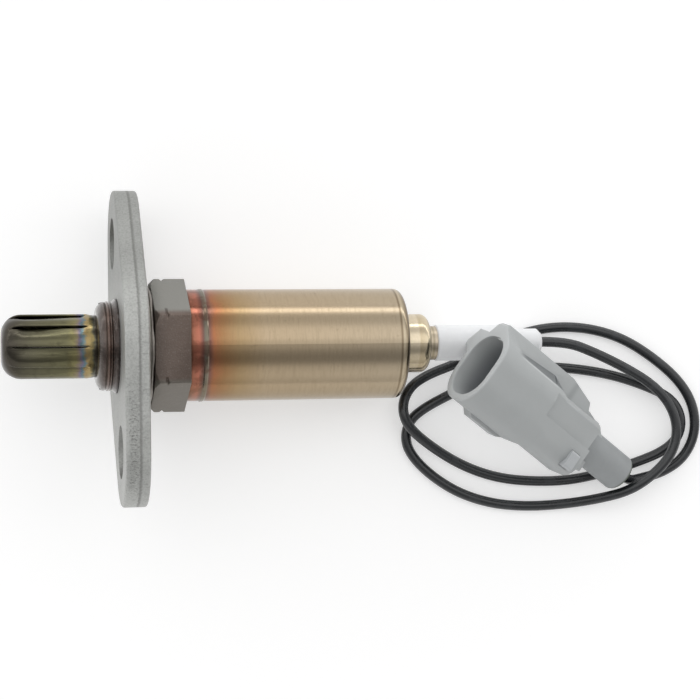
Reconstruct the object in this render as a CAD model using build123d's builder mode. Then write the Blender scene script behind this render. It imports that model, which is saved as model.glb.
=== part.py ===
from build123d import *

import os
from math import acos, asin, atan2, cos, degrees, hypot, pi, radians, sin, tan

os.makedirs("parts", exist_ok=True)

# An unheated oxygen sensor with a two-bolt flange, its single wire and its plug, lying on a
# table as it comes to rest: +X points to the cable end, +Z up, and the table is Z = 0.
# Sizes are in millimetres. A station is a distance along the sensor's axis from the flange's
# mounting face, positive towards the cable.

# Sizes of the mounting flange and its gasket
bolt_pitch = 42.0
bolt_hole_d = 10.0
flange_end_r = 10.25
flange_waist_r = 17.5
flange_thickness = 4.6
flange_edge_r = 0.5
flange_clearance = 0.1
gasket_thickness = 1.6
gasket_width = 2.3
gasket_fold_r = 0.5
gasket_groove_r = 0.25

# Sizes of the housing: neck, spigot, hexagon and rear collar, turned in one piece
neck_d = 16.6
neck_reach = 4.0
neck_nose_r = 1.8
spigot_d = 17.8
spigot_proud = 0.4
spigot_lead = 0.6
hex_across_flats = 22.0
hex_length = 6.7
hex_chamfer_d = 23.4
hex_chamfer_length = 0.9
hex_groove_at = 2.3
hex_groove_depth = 0.45
hex_roll = 3.4
collar_length = 5.0
collar_lip = 1.2
tube_socket_depth = 3.0
front_bore_d = 8.4
rear_bore_d = 13.0
seat_station = 3.0
fit_clearance = 0.1

# Sizes of the louvred protection tube
tube_d = 12.2
tube_root_d = 11.6
tube_wall = 0.5
tube_reach = 21.5
tube_end_r = 3.7
tube_parallel = 15.8
louvre_count = 9
louvre_start = 2.6
louvre_length = 13.4
louvre_width = 1.5
louvre_depth = 1.1
louvre_turn = 12.0

# Sizes of the ceramic element and of what seals it in the housing
element_tip_d = 5.4
element_neck_d = 6.6
element_bore_d = 3.0
element_socket_d = 5.0
element_tip_gap = 2.4
element_tip_wall = 1.2
element_shoulder = 5.0
element_barrel_d = 10.0
element_rear = 20.0
seat_ring_thickness = 0.5
packing_ring_thickness = 1.0

# Sizes of the contact, its ceramic tube, its spring and the crimp
contact_wall = 0.3
contact_depth = 10.0
contact_shoulder = 1.2
stem_d = 1.6
support_flange_d = 13.0
support_flange_length = 3.0
support_d = 9.6
support_length = 24.0
support_bore_d = 3.8
spring_bore_d = 6.0
spring_d = 15.0
spring_thickness = 0.6
spring_rise = 1.4
crimp_d = 3.2
crimp_length = 8.0
crimp_set_back = 1.0

# Sizes of the protective sleeve and of what closes its rear end
sleeve_d = 21.3
sleeve_wall = 0.5
sleeve_length = 42.0
sleeve_end_r = 1.4
bead_offset = 2.9
bead_width = 0.9
bead_height = 0.12
ferrule_d = 11.4
ferrule_wall = 0.5
ferrule_reach = 5.5
ferrule_shoulder_r = 1.6
ferrule_flange_d = 15.0
ferrule_neck_d = 6.6
ferrule_neck_reach = 1.6
bush_rear_gap = 0.6
bush_chamfer = 0.7
cable_sleeve_d = 7.05
cable_sleeve_length = 21.5
cable_sleeve_chamfer = 0.6
cable_sleeve_spigot = 2.2

# Sizes of the wire
wire_d = 2.0
wire_clearance = 0.1
wire_lift = 0.05

# Sizes of the plug, measured along its own axis from the mouth to the wire
plug_width = 15.8
plug_height = 13.4
plug_offset = -1.2
plug_side_flat = 1.2
plug_wall = 1.3
plug_barrel = 14.0
plug_step = 4.0
plug_rear_width = 14.0
plug_rear_height = 11.6
plug_rear_corner_r = 3.6
plug_rear = 27.4
cheek_width = 10.2
cheek_height = 5.0
cheek_length = 3.4
socket_depth = 13.6
rail_bottom = -3.7
rail_front_top = 4.6
rail_length = 18.8
rail_length_top = 1.0
rail_bend = 25.2
rail_bend_edge = 7.1
rail_rear_edge = 5.5
rail_rear_top = 0.4
rail_edge = 8.6
rail_edge_r = 0.6
flank_start = 4.0
flank_top = (4.7, 5.1)
flank_foot = (6.5, 2.1)
left_rail_height = 3.0
left_rail_edge = -9.7
left_rail_start = 4.6
left_rail_end = 15.0
left_rail_lead = 1.2
left_rail_ramp = 2.4
lock_width = 5.6
lock_length = 2.6
lock_drop = 1.3
lock_offset = 3.6
lock_edge_r = 0.9
ledge_depth = 0.9
ledge_start = 14.8
ledge_side = -1.4
retainer_at = 25.0
retainer_offset = -5.2
retainer_width = 3.6
retainer_length = 2.2
retainer_proud = 0.6
retainer_tongue = 1.8
retainer_edge_r = 0.5
boot_d = 7.4
boot_reach = 13.2
boot_spigot_d = 6.2
boot_edge_r = 0.8
pin_d = 2.3
pin_tip = 9.6
pin_tip_r = 0.7
terminal_d = 3.0
terminal_step = 18.0
terminal_rear = 24.0

# Where the plug lies: its end on the wire's side, its heading, slope and roll in degrees
plug_end_place = (68.0, -26.5, 5.3)
plug_heading = -38.0
plug_slope = 22.0
plug_roll = -4.5

# How the sensor lies: a flank of the flange is flat on the table, and so is the sleeve's rim
hex_front = flange_thickness + gasket_thickness
hex_rear = hex_front + hex_length
collar_rear = hex_rear + collar_length
sleeve_rear = hex_rear + sleeve_length
ferrule_rear = sleeve_rear + ferrule_reach
neck_rear = ferrule_rear + ferrule_neck_reach
cable_end = neck_rear + cable_sleeve_length
flank_angle = degrees(asin((flange_waist_r - flange_end_r) / (bolt_pitch / 2)))
drop = (flange_waist_r - flange_edge_r) - (sleeve_d / 2 - sleeve_end_r)
span = (sleeve_rear - sleeve_end_r) - (flange_thickness - flange_edge_r)
tilt = acos((sleeve_end_r - flange_edge_r) / hypot(drop, span)) - atan2(span, drop)
axis_dir = Vector(cos(tilt), 0, -sin(tilt))
up_dir = Vector(sin(tilt), 0, cos(tilt))
tip_x = (tube_end_r - tube_reach) * cos(tilt) - (tube_d / 2 - tube_end_r) * sin(tilt) - tube_end_r
end_x = cable_end * cos(tilt) + (cable_sleeve_d / 2 - cable_sleeve_chamfer) * sin(tilt)
root_z = (
    (flange_waist_r - flange_edge_r) * cos(tilt)
    + flange_edge_r
    + (flange_thickness - flange_edge_r) * sin(tilt)
)
root = Vector(-(tip_x + end_x) / 2, 0, root_z)
sensor_axis = Axis(root, axis_dir)

# The plane that holds the axis: local x is the station, local y the radius
meridian = Plane(origin=root, x_dir=axis_dir, z_dir=(0, -1, 0))


def across(station, roll=0.0):
    """The plane square to the axis at a station, turned about the axis by a roll in degrees."""
    turned = Vector(0, 1, 0) * cos(radians(roll)) + up_dir * sin(radians(roll))
    return Plane(origin=root + axis_dir * station, x_dir=turned, z_dir=axis_dir)


def turned_section(points, mode=Mode.ADD):
    """Turn a closed outline of (station, radius) points about the sensor's axis."""
    with BuildSketch(meridian) as section:
        with BuildLine():
            Polyline(*points, close=True)
        make_face()
    revolve(section.sketch, axis=sensor_axis, mode=mode)


def turned_block(front, rear, outer_r, inner_r=0.0, mode=Mode.ADD):
    """Turn a plain ring or bar between two stations."""
    turned_section(
        [(front, inner_r), (rear, inner_r), (rear, outer_r), (front, outer_r)], mode
    )


# Protection tube: a drawn cup with a rounded end and a ring of louvres pressed inwards
tube_r = tube_d / 2
tube_root_r = tube_root_d / 2
tube_tip = -tube_reach
tube_root = -neck_reach + tube_socket_depth
tube_taper = tube_tip + tube_parallel


def tube_section(skin, mode):
    """Turn the tube's outer form, or its inside, which lies one wall deeper."""
    front = tube_tip + skin
    with BuildSketch(meridian) as outline:
        with BuildLine():
            Polyline(
                (front, 0),
                (front, tube_r - skin),
                (tube_taper, tube_r - skin),
                (-neck_reach, tube_root_r - skin),
                (tube_root, tube_root_r - skin),
                (tube_root, 0),
                close=True,
            )
        make_face()
        corner = outline.vertices().sort_by_distance((front, tube_r - skin, 0))[0]
        fillet(corner, tube_end_r - skin)
    revolve(outline.sketch, axis=sensor_axis, mode=mode)


with BuildPart() as protection_tube:
    tube_section(0.0, Mode.ADD)
    tube_section(tube_wall, Mode.SUBTRACT)
    with BuildSketch(across(tube_tip + louvre_start, louvre_turn)):
        with PolarLocations(tube_r - tube_wall / 2, louvre_count):
            Rectangle(3 * tube_wall, louvre_width, align=(Align.CENTER, Align.MIN))
    extrude(amount=louvre_length, mode=Mode.SUBTRACT)
    with BuildSketch(across(tube_tip + louvre_start, louvre_turn)):
        with PolarLocations(tube_r, louvre_count):
            Polygon(
                (-tube_wall / 5, -tube_wall / 4),
                (-tube_wall, -tube_wall / 4),
                (-tube_wall - louvre_depth, louvre_width),
                (-louvre_depth, louvre_width + tube_wall / 4),
                align=None,
            )
    extrude(amount=louvre_length)

protection_tube.part.label = "protection_tube"
export_step(protection_tube.part, "parts/protection_tube.step")

# Ceramic element: a thimble with its closed end in the tube and a shoulder in the housing
element_tip = tube_tip + tube_wall + element_tip_gap
element_tip_r = element_tip_d / 2
shoulder_front = seat_station + seat_ring_thickness
shoulder_rear = shoulder_front + element_shoulder
shoulder_r = rear_bore_d / 2 - fit_clearance
socket_front = element_rear - contact_depth

with BuildPart() as zirconia_element:
    with BuildSketch(meridian) as thimble:
        with BuildLine():
            Polyline(
                (element_tip, 0),
                (element_tip, element_tip_r),
                (element_tip + 3 * element_tip_r, element_tip_r),
                (shoulder_front, element_neck_d / 2),
                (shoulder_front, shoulder_r),
                (shoulder_rear, shoulder_r),
                (shoulder_rear, element_barrel_d / 2),
                (element_rear, element_barrel_d / 2),
                (element_rear, 0),
                close=True,
            )
        make_face()
        nose = thimble.vertices().sort_by_distance((element_tip, element_tip_r, 0))[0]
        fillet(nose, 0.95 * element_tip_r)
    revolve(axis=sensor_axis)
    turned_block(
        element_tip + element_tip_wall, socket_front, element_bore_d / 2, mode=Mode.SUBTRACT
    )
    turned_block(socket_front, element_rear, element_socket_d / 2, mode=Mode.SUBTRACT)

zirconia_element.part.label = "zirconia_element"
export_step(zirconia_element.part, "parts/zirconia_element.step")

# Seat ring: a soft metal washer that the element's shoulder is pressed against
with BuildPart() as element_seat_ring:
    turned_block(
        seat_station, shoulder_front, shoulder_r, front_bore_d / 2 + fit_clearance
    )

element_seat_ring.part.label = "element_seat_ring"
export_step(element_seat_ring.part, "parts/element_seat_ring.step")

# Powder packing and its metal ring, pressed in between element and housing
lip_face = collar_rear - collar_lip
packing_rear = lip_face - packing_ring_thickness
packing_r = element_barrel_d / 2 + fit_clearance

with BuildPart() as powder_packing:
    turned_block(shoulder_rear, packing_rear, shoulder_r, packing_r)

powder_packing.part.label = "powder_packing"
export_step(powder_packing.part, "parts/powder_packing.step")

with BuildPart() as packing_ring:
    turned_block(packing_rear, lip_face, shoulder_r, packing_r)

packing_ring.part.label = "packing_ring"
export_step(packing_ring.part, "parts/packing_ring.step")

# Housing: a rounded neck, the flange's spigot, a hexagon and a collar under the sleeve
neck_r = neck_d / 2
spigot_r = spigot_d / 2
sleeve_r = sleeve_d / 2
collar_r = sleeve_r - sleeve_wall - fit_clearance
hex_corner_r = hex_across_flats / 2 / cos(radians(30))

with BuildPart() as sensor_housing:
    with BuildSketch(across(hex_front, hex_roll)):
        RegularPolygon(hex_across_flats / 2, 6, major_radius=False)
    extrude(amount=hex_length)
    turned_section(
        [
            (hex_front, hex_chamfer_d / 2),
            (hex_front, hex_corner_r + 1),
            (hex_front + hex_chamfer_length, hex_corner_r + 1),
            (hex_front + hex_chamfer_length, hex_corner_r),
        ],
        Mode.SUBTRACT,
    )
    turned_section(
        [
            (hex_front + hex_groove_at - hex_groove_depth, hex_corner_r + 1),
            (hex_front + hex_groove_at - hex_groove_depth, hex_corner_r),
            (hex_front + hex_groove_at, hex_corner_r - hex_groove_depth),
            (hex_front + hex_groove_at + hex_groove_depth, hex_corner_r),
            (hex_front + hex_groove_at + hex_groove_depth, hex_corner_r + 1),
        ],
        Mode.SUBTRACT,
    )
    with BuildSketch(meridian) as turned:
        with BuildLine():
            Polyline(
                (-neck_reach, 0),
                (-neck_reach, neck_r),
                (-spigot_proud - spigot_lead, neck_r),
                (-spigot_proud, spigot_r),
                (hex_front, spigot_r),
                (hex_front, collar_r),
                (collar_rear, collar_r),
                (collar_rear, 0),
                close=True,
            )
        make_face()
        front_corner = turned.vertices().sort_by_distance((-neck_reach, neck_r, 0))[0]
        fillet(front_corner, neck_nose_r)
    revolve(axis=sensor_axis)
    turned_block(
        -neck_reach, tube_root, tube_root_r + fit_clearance / 2, mode=Mode.SUBTRACT
    )
    turned_block(tube_root, seat_station, front_bore_d / 2, mode=Mode.SUBTRACT)
    turned_block(seat_station, lip_face, rear_bore_d / 2, mode=Mode.SUBTRACT)
    turned_block(lip_face, collar_rear, packing_r + fit_clearance, mode=Mode.SUBTRACT)

sensor_housing.part.label = "sensor_housing"
export_step(sensor_housing.part, "parts/sensor_housing.step")

# Mounting flange: a punched plate, two rounded ears on a round waist, with a die roll in front
with BuildPart() as mounting_flange:
    with BuildSketch(across(0, -flank_angle)):
        with Locations((bolt_pitch / 2, 0), (-bolt_pitch / 2, 0)):
            Circle(flange_end_r)
        Circle(flange_waist_r)
        make_hull()
        with Locations((bolt_pitch / 2, 0), (-bolt_pitch / 2, 0)):
            Circle(bolt_hole_d / 2, mode=Mode.SUBTRACT)
        Circle(spigot_r + flange_clearance, mode=Mode.SUBTRACT)
    extrude(amount=flange_thickness)
    faces_across = mounting_flange.faces().filter_by(GeomType.PLANE).sort_by(sensor_axis)
    for face in (faces_across[0], faces_across[-1]):
        fillet(face.outer_wire().edges(), flange_edge_r)

mounting_flange.part.label = "mounting_flange"
export_step(mounting_flange.part, "parts/mounting_flange.step")

# Gasket: a folded metal ring, held captive on the spigot between flange and hexagon
gasket_inner_r = spigot_r + flange_clearance
gasket_mid = flange_thickness + gasket_thickness / 2

with BuildPart() as gasket_ring:
    with BuildSketch(meridian):
        with Locations((gasket_mid, gasket_inner_r + gasket_width / 2)):
            RectangleRounded(gasket_thickness, gasket_width, gasket_fold_r)
        with Locations((gasket_mid, gasket_inner_r + gasket_width)):
            Circle(gasket_groove_r, mode=Mode.SUBTRACT)
    revolve(axis=sensor_axis)

gasket_ring.part.label = "gasket_ring"
export_step(gasket_ring.part, "parts/gasket_ring.step")

# Ceramic tube: it presses the contact down and carries the contact's stem
support_rear = element_rear + support_length

with BuildPart() as ceramic_support_tube:
    turned_block(
        element_rear,
        element_rear + support_flange_length,
        support_flange_d / 2,
        support_bore_d / 2,
    )
    turned_block(
        element_rear + support_flange_length, support_rear, support_d / 2, support_bore_d / 2
    )

ceramic_support_tube.part.label = "ceramic_support_tube"
export_step(ceramic_support_tube.part, "parts/ceramic_support_tube.step")

# Spring washer: a coned disc between the ceramic tube and the bush
bush_front = support_rear + spring_thickness + spring_rise

with BuildPart() as spring_washer:
    turned_section(
        [
            (support_rear, spring_bore_d / 2),
            (support_rear + spring_thickness, spring_bore_d / 2),
            (bush_front, spring_d / 2),
            (bush_front - spring_thickness, spring_d / 2),
        ]
    )

spring_washer.part.label = "spring_washer"
export_step(spring_washer.part, "parts/spring_washer.step")

# Inner contact: a thin cup gripped in the element, with a stem back to the crimp
contact_r = element_socket_d / 2 - fit_clearance / 2
crimp_front = bush_front + crimp_set_back
crimp_middle = crimp_front + crimp_length / 2
crimp_rear = crimp_front + crimp_length

with BuildPart() as inner_contact:
    turned_section(
        [
            (socket_front + fit_clearance, 0),
            (socket_front + fit_clearance, contact_r),
            (element_rear - contact_shoulder, contact_r),
            (element_rear, stem_d / 2),
            (crimp_middle, stem_d / 2),
            (crimp_middle, 0),
        ]
    )
    turned_block(
        socket_front + fit_clearance,
        element_rear - contact_shoulder - contact_wall,
        contact_r - contact_wall,
        mode=Mode.SUBTRACT,
    )

inner_contact.part.label = "inner_contact"
export_step(inner_contact.part, "parts/inner_contact.step")

# Crimp: a small tube that joins the stem and the wire
with BuildPart() as wire_crimp:
    turned_block(crimp_front, crimp_middle, crimp_d / 2, stem_d / 2 + fit_clearance / 4)
    turned_block(crimp_middle, crimp_rear, crimp_d / 2, wire_d / 2 + fit_clearance / 4)

wire_crimp.part.label = "wire_crimp"
export_step(wire_crimp.part, "parts/wire_crimp.step")

# Protective sleeve: a drawn shell over the collar, with a weld bead and a rounded rear end
sleeve_front = hex_rear
sleeve_wall_face = sleeve_rear - sleeve_wall
ferrule_r = ferrule_d / 2

with BuildPart() as protective_sleeve:
    with BuildSketch(meridian) as shell:
        with BuildLine():
            Polyline(
                (sleeve_front, sleeve_r - sleeve_wall),
                (sleeve_front, sleeve_r),
                (sleeve_rear, sleeve_r),
                (sleeve_rear, ferrule_r + fit_clearance),
                (sleeve_wall_face, ferrule_r + fit_clearance),
                (sleeve_wall_face, sleeve_r - sleeve_wall),
                close=True,
            )
        make_face()
        outer_corner = shell.vertices().sort_by_distance((sleeve_rear, sleeve_r, 0))[0]
        fillet(outer_corner, sleeve_end_r)
        inner_corner = shell.vertices().sort_by_distance(
            (sleeve_wall_face, sleeve_r - sleeve_wall, 0)
        )[0]
        fillet(inner_corner, sleeve_end_r - sleeve_wall)
    revolve(axis=sensor_axis)
    bead_station = sleeve_front + bead_offset
    turned_section(
        [
            (bead_station - bead_width / 2, sleeve_r - sleeve_wall / 2),
            (bead_station - bead_width / 2, sleeve_r),
            (bead_station - bead_width / 4, sleeve_r + bead_height),
            (bead_station + bead_width / 4, sleeve_r + bead_height),
            (bead_station + bead_width / 2, sleeve_r),
            (bead_station + bead_width / 2, sleeve_r - sleeve_wall / 2),
        ]
    )

protective_sleeve.part.label = "protective_sleeve"
export_step(protective_sleeve.part, "parts/protective_sleeve.step")

# Outlet ferrule: a small cap whose flange is held inside the sleeve's rear wall
ferrule_inner_r = ferrule_r - ferrule_wall
ferrule_neck_r = ferrule_neck_d / 2
ferrule_front = sleeve_wall_face - ferrule_wall

with BuildPart() as outlet_ferrule:
    with BuildSketch(meridian) as cap:
        with BuildLine():
            Polyline(
                (ferrule_front, ferrule_inner_r),
                (ferrule_front, ferrule_flange_d / 2),
                (sleeve_wall_face, ferrule_flange_d / 2),
                (sleeve_wall_face, ferrule_r),
                (ferrule_rear, ferrule_r),
                (ferrule_rear, ferrule_neck_r),
                (neck_rear, ferrule_neck_r),
                (neck_rear, ferrule_neck_r - ferrule_wall),
                (ferrule_rear - ferrule_wall, ferrule_neck_r - ferrule_wall),
                (ferrule_rear - ferrule_wall, ferrule_inner_r),
                close=True,
            )
        make_face()
        cap_corner = cap.vertices().sort_by_distance((ferrule_rear, ferrule_r, 0))[0]
        fillet(cap_corner, ferrule_shoulder_r)
        cap_inside = cap.vertices().sort_by_distance(
            (ferrule_rear - ferrule_wall, ferrule_inner_r, 0)
        )[0]
        fillet(cap_inside, ferrule_shoulder_r - ferrule_wall)
    revolve(axis=sensor_axis)

outlet_ferrule.part.label = "outlet_ferrule"
export_step(outlet_ferrule.part, "parts/outlet_ferrule.step")

# Insulating bush: it centres the crimp and the wire in the sleeve and in the ferrule
bush_rear = ferrule_rear - ferrule_wall - bush_rear_gap
bush_tail_r = ferrule_inner_r - fit_clearance
wire_bore_r = wire_d / 2 + wire_clearance

with BuildPart() as insulating_bush:
    turned_section(
        [
            (bush_front, crimp_d / 2 + fit_clearance),
            (bush_front, collar_r),
            (ferrule_front, collar_r),
            (ferrule_front, bush_tail_r),
            (bush_rear - bush_chamfer, bush_tail_r),
            (bush_rear, bush_tail_r - bush_chamfer),
            (bush_rear, wire_bore_r),
            (crimp_rear, wire_bore_r),
            (crimp_rear, crimp_d / 2 + fit_clearance),
        ]
    )

insulating_bush.part.label = "insulating_bush"
export_step(insulating_bush.part, "parts/insulating_bush.step")

# Cable sleeve: a stiff white tube round the wire, its spigot in the ferrule's neck
cable_sleeve_r = cable_sleeve_d / 2
spigot_inner_r = ferrule_neck_r - ferrule_wall - fit_clearance

with BuildPart() as cable_sleeve:
    turned_section(
        [
            (neck_rear - cable_sleeve_spigot, wire_bore_r),
            (neck_rear - cable_sleeve_spigot, spigot_inner_r),
            (neck_rear, spigot_inner_r),
            (neck_rear, cable_sleeve_r - cable_sleeve_chamfer / 4),
            (neck_rear + cable_sleeve_chamfer / 4, cable_sleeve_r),
            (cable_end - cable_sleeve_chamfer, cable_sleeve_r),
            (cable_end, cable_sleeve_r - cable_sleeve_chamfer),
            (cable_end, wire_bore_r),
        ]
    )

cable_sleeve.part.label = "cable_sleeve"
export_step(cable_sleeve.part, "parts/cable_sleeve.step")

# The plug's own directions: along it from mouth to wire, to its side and to its top
heading, slope, plug_turn = radians(plug_heading), radians(plug_slope), radians(plug_roll)
plug_dir = Vector(cos(heading) * cos(slope), sin(heading) * cos(slope), -sin(slope))
level_side = Vector(-sin(heading), cos(heading), 0)
level_top = plug_dir.cross(level_side)
plug_side = level_side * cos(plug_turn) + level_top * sin(plug_turn)
plug_top = plug_dir.cross(plug_side)
plug_length = plug_rear + boot_reach
plug_end = Vector(*plug_end_place)
plug_mouth = plug_end - plug_dir * plug_length
plug_axis = Axis(plug_mouth, plug_dir)


def plug_across(depth, side=0.0):
    """The plane square to the plug's axis, a depth behind its mouth."""
    return Plane(
        origin=plug_mouth + plug_dir * depth + plug_side * side, x_dir=plug_side, z_dir=plug_dir
    )


def plug_level(height):
    """The plane along the plug at a height over its axis: local x along it, y to its side."""
    return Plane(origin=plug_mouth + plug_top * height, x_dir=plug_dir, z_dir=plug_top)


def plug_upright(side):
    """The upright plane along the plug at a place to its side: local x along it, y to its top."""
    return Plane(origin=plug_mouth + plug_side * side, x_dir=plug_dir, z_dir=-plug_side)


def plug_outline(depth, width, height, corner_r, side, rise=0.0):
    """A rounded outline across the plug."""
    with BuildSketch(plug_across(depth, side)) as outline:
        with Locations((0, rise)):
            RectangleRounded(width, height, corner_r)
    return outline.sketch


def plug_pin(front, rear, radius, mode=Mode.ADD):
    """A round bar or bore on the plug's axis."""
    with BuildSketch(plug_across(front)) as section:
        Circle(radius)
    extrude(section.sketch, amount=rear - front, mode=mode)


# Guide rail: a long wing on the plug's right, its top a ramp that falls towards the wire
with BuildPart() as guide_rail:
    with BuildSketch(plug_level(rail_bottom)):
        Polygon(
            (0, 0),
            (0, rail_edge - rail_edge_r),
            (rail_edge_r, rail_edge),
            (rail_length, rail_edge),
            (rail_bend, rail_bend_edge),
            (plug_rear, rail_rear_edge),
            (plug_rear, 0),
            align=None,
        )
    extrude(amount=rail_front_top - rail_bottom)
    with BuildSketch(plug_upright(rail_edge)):
        Polygon(
            (0, rail_bottom),
            (0, rail_front_top),
            (rail_length, rail_length_top),
            (plug_rear, rail_rear_top),
            (plug_rear, rail_bottom),
            align=None,
        )
    extrude(amount=rail_edge, mode=Mode.INTERSECT)

# Connector housing: an oval moulded barrel that steps to a squarer rear with cheeks at the boot
plug_corner_r = (plug_height - plug_side_flat) / 2
plug_crown = plug_height / 2
rear_offset = plug_offset + (plug_width - plug_rear_width) / 8
rear_rise = plug_crown - plug_rear_height / 2
retainer_floor = plug_crown - retainer_tongue
boot_bore_r = boot_d / 2 + fit_clearance

with BuildPart() as connector_housing:
    mouth = plug_outline(0, plug_width, plug_height, plug_corner_r, plug_offset)
    extrude(mouth, amount=plug_barrel)
    with BuildSketch(plug_across(flank_start)):
        Polygon(flank_top, flank_foot, (flank_foot[0] + 1, flank_top[1]), align=None)
    extrude(amount=plug_barrel - flank_start, mode=Mode.SUBTRACT)
    barrel_end = plug_outline(plug_barrel, plug_width, plug_height, plug_corner_r, plug_offset)
    body_front = plug_outline(
        plug_barrel + plug_step,
        plug_rear_width,
        plug_rear_height,
        plug_rear_corner_r,
        rear_offset,
        rear_rise,
    )
    loft([barrel_end, body_front])
    extrude(body_front, amount=plug_rear - plug_barrel - plug_step)
    add(guide_rail.part)
    with BuildSketch(plug_level(rail_bottom)):
        Polygon(
            (left_rail_start, 0),
            (left_rail_start, left_rail_edge + left_rail_lead),
            (left_rail_start + left_rail_lead, left_rail_edge),
            (left_rail_end - left_rail_ramp, left_rail_edge),
            (left_rail_end + left_rail_ramp, left_rail_edge + left_rail_ramp),
            (left_rail_end + left_rail_ramp, 0),
            align=None,
        )
    extrude(amount=left_rail_height)
    with BuildSketch(plug_across(0, lock_offset)):
        with Locations((0, -plug_height / 2 - lock_drop)):
            RectangleRounded(
                lock_width,
                lock_drop + plug_height / 4,
                lock_edge_r,
                align=(Align.CENTER, Align.MIN),
            )
    extrude(amount=lock_length)
    with BuildSketch(plug_across(ledge_start)):
        with Locations((ledge_side, plug_crown - ledge_depth)):
            Rectangle(plug_width, plug_height, align=(Align.MIN, Align.MIN))
    extrude(amount=plug_rear - ledge_start, mode=Mode.SUBTRACT)
    with BuildSketch(plug_across(plug_rear)):
        Rectangle(cheek_width, cheek_height)
    extrude(amount=cheek_length)
    socket = plug_outline(
        0,
        plug_width - 2 * plug_wall,
        plug_height - 2 * plug_wall,
        plug_corner_r - plug_wall,
        plug_offset,
    )
    extrude(socket, amount=socket_depth, mode=Mode.SUBTRACT)
    plug_pin(socket_depth, terminal_step, pin_d / 2 + fit_clearance, Mode.SUBTRACT)
    plug_pin(terminal_step, terminal_rear, terminal_d / 2 + fit_clearance, Mode.SUBTRACT)
    plug_pin(terminal_rear, plug_rear, boot_spigot_d / 2 + fit_clearance, Mode.SUBTRACT)
    plug_pin(plug_rear, plug_rear + cheek_length, boot_bore_r, Mode.SUBTRACT)
    with BuildSketch(plug_across(retainer_at - retainer_length / 2, retainer_offset)):
        with Locations((0, retainer_floor - fit_clearance)):
            Rectangle(
                retainer_width + 2 * fit_clearance, plug_height, align=(Align.CENTER, Align.MIN)
            )
    extrude(amount=retainer_length + fit_clearance, mode=Mode.SUBTRACT)

connector_housing.part.label = "connector_housing"
export_step(connector_housing.part, "parts/connector_housing.step")

# Terminal retainer: a small clip pushed into a pocket in the top of the housing
with BuildPart() as terminal_retainer:
    with BuildSketch(plug_across(retainer_at - retainer_length / 2, retainer_offset)):
        with Locations((0, retainer_floor)):
            Rectangle(
                retainer_width,
                retainer_tongue + retainer_proud,
                align=(Align.CENTER, Align.MIN),
            )
    extrude(amount=retainer_length)
    clip_edges = terminal_retainer.edges().filter_by(plug_axis)
    fillet(clip_edges.sort_by(Axis(plug_mouth, plug_top))[-2:], retainer_edge_r)

terminal_retainer.part.label = "terminal_retainer"
export_step(terminal_retainer.part, "parts/terminal_retainer.step")

# Connector terminal: a round pin in the socket, with a wider barrel held in the housing
with BuildPart() as connector_terminal:
    plug_pin(pin_tip, terminal_step, pin_d / 2)
    tip_edge = connector_terminal.edges().filter_by(GeomType.CIRCLE).sort_by(plug_axis)[0]
    chamfer(tip_edge, pin_tip_r)
    plug_pin(terminal_step, terminal_rear, terminal_d / 2)

connector_terminal.part.label = "connector_terminal"
export_step(connector_terminal.part, "parts/connector_terminal.step")

# Wire boot: a rubber sleeve that seals the wire in the housing's rear bore
with BuildPart() as wire_boot:
    plug_pin(terminal_rear, plug_rear, boot_spigot_d / 2)
    plug_pin(plug_rear, plug_length, boot_d / 2)
    boot_rim = wire_boot.edges().filter_by(GeomType.CIRCLE).sort_by(plug_axis)[-1]
    fillet(boot_rim, boot_edge_r)
    plug_pin(terminal_rear, plug_length, wire_d / 2 + wire_clearance, Mode.SUBTRACT)

wire_boot.part.label = "wire_boot"
export_step(wire_boot.part, "parts/wire_boot.step")

# The wire's route, from the cable sleeve in two loose loops to the boot. It lies on the table,
# and rises where it leaves the sleeve, passes over itself and reaches the boot.
table = wire_d / 2 + wire_lift
wire_exit = root + axis_dir * cable_end
route = [
    wire_exit,
    wire_exit + axis_dir * 5.6,
    Vector(63.4, -2.3, 5.0),
    Vector(69.5, -5.3, 4.6),
    Vector(75.0, -8.7, 4.5),
    Vector(78.7, -12.8, 4.6),
    Vector(80.1, -17.8, 4.7),
    Vector(78.8, -22.6, 4.8),
    Vector(75.2, -26.5, 5.3),
    Vector(70.0, -29.8, 5.9),
    Vector(64.0, -31.5, 3.6),
    Vector(57.6, -32.6, 1.3),
    Vector(50.4, -33.0, table),
    Vector(43.4, -32.4, table),
    Vector(36.9, -30.4, table),
    Vector(31.6, -27.2, table),
    Vector(27.4, -23.3, table),
    Vector(25.5, -19.6, table),
    Vector(26.3, -15.6, table),
    Vector(29.4, -13.0, table),
    Vector(34.9, -10.2, table),
    Vector(41.4, -7.1, table),
    Vector(48.0, -5.3, table),
    Vector(55.0, -5.0, table),
    Vector(62.0, -5.7, table),
    Vector(68.4, -7.0, table),
    Vector(74.5, -9.1, table),
    Vector(79.5, -11.5, table),
    Vector(81.7, -15.2, table),
    Vector(81.2, -19.3, table),
    Vector(78.0, -22.3, table),
    Vector(72.0, -24.6, table),
    Vector(65.9, -26.4, table),
    Vector(58.8, -27.9, table),
    Vector(51.2, -28.0, table),
    Vector(44.2, -27.2, table),
    Vector(37.8, -25.0, table),
    Vector(31.8, -21.5, 2.0),
    Vector(25.9, -16.8, 4.6),
    Vector(24.6, -12.7, 4.5),
    Vector(26.2, -8.9, 2.8),
    Vector(30.0, -6.4, table),
    Vector(36.0, -4.2, table),
    Vector(42.6, -1.4, table),
    Vector(49.4, 1.9, table),
    Vector(56.4, 3.1, table),
    Vector(63.4, 2.6, table),
    Vector(70.0, 0.5, table),
    Vector(76.3, -3.6, table),
    Vector(81.4, -8.2, table),
    Vector(84.2, -13.2, table),
    Vector(84.5, -18.9, table),
    Vector(82.0, -23.8, table),
    Vector(77.6, -26.6, table),
    Vector(73.2, -27.6, 1.7),
    plug_end + plug_dir * 2.6,
    plug_end,
]
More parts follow.
